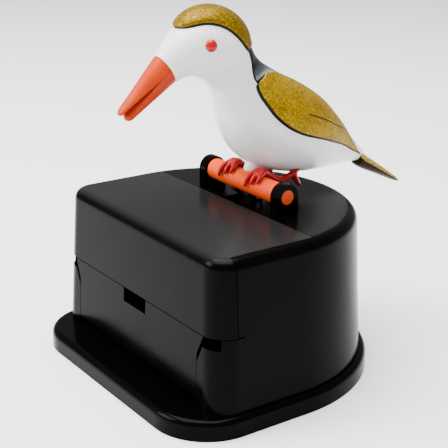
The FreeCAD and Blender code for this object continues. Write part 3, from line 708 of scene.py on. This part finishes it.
# The tail's axis in the centre plane (rear, up), then its sections: mm along, half width, mm above
# and below the axis.
TAIL_ROOT = np.array([51.2, 52.1])
TAIL_ALONG = np.array([0.845, -0.535])
TAIL_UP = np.array([0.535, 0.845])
TAIL_SECTIONS = [(-3.0, 1.6, 1.0, 0.7), (0.0, 2.3, 1.3, 1.0), (1.0, 2.9, 1.3, 2.6), (4.0, 3.3, 1.2, 2.7),
                 (9.0, 3.5, 1.0, 2.0), (15.0, 3.1, 0.7, 1.2), (18.4, 2.3, 0.45, 0.7), (19.6, 1.2, 0.2, 0.3)]
TAIL_SIDES = 72
GOLD_DOWN_TO = -0.22        # the gold wraps this far below the tail's edge (sine of the angle)


def tail():
    """Flat wedge: olive-gold on top, brown beneath, with a sharp edge between them."""
    around = ring_angles(TAIL_SIDES)
    side_bulge = np.sign(np.cos(around)) * np.abs(np.cos(around)) ** 0.8
    rings = []
    for at, wide, above, below in smooth_curve(TAIL_SECTIONS, 10):
        rise = np.where(np.sin(around) > 0, above, below) * np.sin(around)
        place = TAIL_ROOT + TAIL_ALONG * at + TAIL_UP * rise[:, None]
        rings.append(np.column_stack([side_bulge * wide, place]))
    item = lofted("tail_wedge", rings, TAIL)
    gold = (np.sin(around) > GOLD_DOWN_TO).astype(float)
    point_values(item, "shade", np.tile(gold, len(rings)))
    finish_piece(item, "tail")


tail()


# ------------------------------------------------------------------ feet

# The roller's axis and radius, from its box to the nearest 0.1 mm because its mesh is faceted.
ROLLER_LOW, ROLLER_HIGH = (np.array(corner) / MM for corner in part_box("perch_roller"))
_, PERCH_REAR, PERCH_UP = np.round((ROLLER_LOW + ROLLER_HIGH) / 2, 1)
PERCH_RADIUS = round((ROLLER_HIGH[1] - ROLLER_LOW[1]) / 2, 1)
FOOT_X = 6.3
TOES = ((-1.9, 176, 0.78), (0.4, 158, 0.82), (2.5, 146, 0.76))      # sideways spread, reach, thickness
LIMB_STEPS = 10
LIMB_SIDES = 20
MELT_VOXEL = 0.16


def tube(points):
    """Rings of a round limb through (x, y, z, radius) points."""
    curve = smooth_curve(points, LIMB_STEPS)
    centre, radius = curve[:, :3], curve[:, 3]
    heading = np.gradient(centre, axis=0)
    heading /= np.linalg.norm(heading, axis=1)[:, None]
    across = np.cross(heading, [1.0, 0.02, 0.01])
    across /= np.linalg.norm(across, axis=1)[:, None]
    other = np.cross(heading, across)
    turn = ring_angles(LIMB_SIDES)[None, :, None]
    ring = np.cos(turn) * across[:, None, :] + np.sin(turn) * other[:, None, :]
    return centre[:, None, :] + ring * radius[:, None, None]


def around_roller(x, angle, out, thick):
    """A limb's point beside the roller: degrees from the rear, mm above its surface, limb radius."""
    turned = math.radians(angle)
    reach = PERCH_RADIUS + out
    return (x, PERCH_REAR + reach * math.cos(turned), PERCH_UP + reach * math.sin(turned), thick)


def toe(x, spread, reach, thick):
    """One toe from the ankle over the roller to a pointed nail; reach: about where it ends, in degrees."""
    return [around_roller(x + 0.2 * spread, 62, 0.9, 1.0),
            around_roller(x + 0.35 * spread, 85, 1.25, 1.02),
            around_roller(x + 0.8 * spread, 112, 0.95, thick),
            around_roller(x + spread, 0.55 * reach + 45, 0.85, 0.9 * thick),
            around_roller(x + 1.08 * spread, reach - 6, 0.78, 0.62 * thick),
            around_roller(x + 1.12 * spread, reach + 6, 0.45, 0.16)]


def heel(x):
    """The stem that runs back from the ankle, under the belly."""
    return [around_roller(x, 96, 0.9, 0.7), around_roller(x, 74, 1.3, 1.08),
            (x, 14.3, 53.3, 1.02), (x, 17.4, 51.7, 0.95), (x, 20.3, 52.2, 0.85), (x, 22.6, 53.1, 0.9),
            (x, 24.3, 53.9, 0.45)]


def hind_claw(x):
    """The claw that hangs from the heel's end."""
    return [(x, 21.6, 53.4, 0.7), (x, 22.4, 52.6, 1.0), (x, 23.2, 50.9, 0.85), (x, 24.2, 49.4, 0.62),
            (x, 24.9, 48.5, 0.2)]


def fuse_limbs(item):
    """Melt overlapping limbs into one skin and soften the joints."""
    remesh = item.modifiers.new("melt", "REMESH")
    remesh.mode = "VOXEL"
    remesh.voxel_size = MELT_VOXEL * MM
    remesh.use_smooth_shade = True
    soften = item.modifiers.new("soften", "SMOOTH")
    soften.factor = 0.5
    soften.iterations = 5
    bpy.context.view_layer.update()
    evaluated = item.evaluated_get(bpy.context.evaluated_depsgraph_get())
    melted = bpy.data.meshes.new_from_object(evaluated)
    item.modifiers.clear()
    item.data = melted
    melted.polygons.foreach_set("use_smooth", [True] * len(melted.polygons))


def foot(side):
    """Three clawed toes over the roller, a heel behind it and a hind claw under the belly."""
    x = side * FOOT_X
    limbs = [toe(x, *shape) for shape in TOES] + [heel(x), hind_claw(x)]
    points, faces, start = [], [], 0
    for limb in limbs:
        rings = tube(limb)
        rows, columns = rings.shape[:2]
        points.append(rings.reshape(-1, 3))
        faces += grid_faces(rows, columns, start, wrap=True) + end_faces(rows, columns, start)
        start += rows * columns
    name = side_name("foot", side)
    item = outward(new_object(name + "_clawed", np.concatenate(points), faces, RED))
    fuse_limbs(item)
    finish_piece(item, name)


for side in SIDES:
    foot(side)


# ------------------------------------------------------------------ stage, light and camera

FLOOR_HALF = 1500.0         # millimetres
WORLD_COLOUR = (0.97, 0.98, 1.0, 1.0)
WORLD_STRENGTH = 0.55
LIT_POINT = (0.0, 0.0, 0.05)
LENS = 90.5                 # millimetres, on a sensor 36 mm wide
SENSOR = 36.0
AZIMUTH = math.radians(55.32)        # from the front (-Y) towards +X
ELEVATION = math.radians(19.11)      # above the horizon
CAMERA_PLACE = Vector((0.2458, -0.1672, 0.1432))


def stage():
    """Pale floor under the base plate."""
    corners = [(-FLOOR_HALF, -FLOOR_HALF, 0), (FLOOR_HALF, -FLOOR_HALF, 0),
               (FLOOR_HALF, FLOOR_HALF, 0), (-FLOOR_HALF, FLOOR_HALF, 0)]
    mat = Nodes("pale_floor")
    tone = mat.noise(3.0, 2.0)
    mat.set(Base_Color=mat.ramp(tone, (0.3, 0.90), (0.7, 0.94)), Roughness=0.75, Specular_IOR_Level=0.2)
    floor = new_object("studio_floor", corners, [(0, 1, 2, 3)], mat.material, smooth=False)


def area_light(name, place, side, power):
    """A square lamp that faces the middle of the object; side in metres, power in watts."""
    lamp = bpy.data.lights.new(name, "AREA")
    lamp.shape = "SQUARE"
    lamp.size = side
    lamp.energy = power
    item = bpy.data.objects.new(name, lamp)
    item.location = place
    item.rotation_euler = (Vector(LIT_POINT) - Vector(place)).to_track_quat("-Z", "Y").to_euler()
    bpy.context.collection.objects.link(item)


def studio():
    """Even light from all round and two softboxes."""
    world = bpy.data.worlds.new("studio")
    world.use_nodes = True
    background = world.node_tree.nodes["Background"]
    background.inputs["Color"].default_value = WORLD_COLOUR
    background.inputs["Strength"].default_value = WORLD_STRENGTH
    bpy.context.scene.world = world
    area_light("top_softbox", (-0.05, -0.05, 0.75), 0.7, 21.0)
    area_light("front_left_softbox", (-0.45, -0.75, 0.55), 0.5, 15.0)


def camera():
    """The viewpoint: from the front left, a little above, with the horizon level."""
    data = bpy.data.cameras.new("camera")
    data.lens = LENS
    data.sensor_width = SENSOR
    data.clip_start = 0.01
    item = bpy.data.objects.new("camera", data)
    right = Vector((math.cos(AZIMUTH), math.sin(AZIMUTH), 0.0))
    forward = Vector((-math.sin(AZIMUTH) * math.cos(ELEVATION),
                      math.cos(AZIMUTH) * math.cos(ELEVATION),
                      -math.sin(ELEVATION)))
    up = right.cross(forward)
    rotation = Matrix((right, up, -forward)).transposed().to_4x4()
    item.matrix_world = Matrix.Translation(CAMERA_PLACE) @ rotation
    bpy.context.collection.objects.link(item)
    bpy.context.scene.camera = item


stage()
studio()
camera()
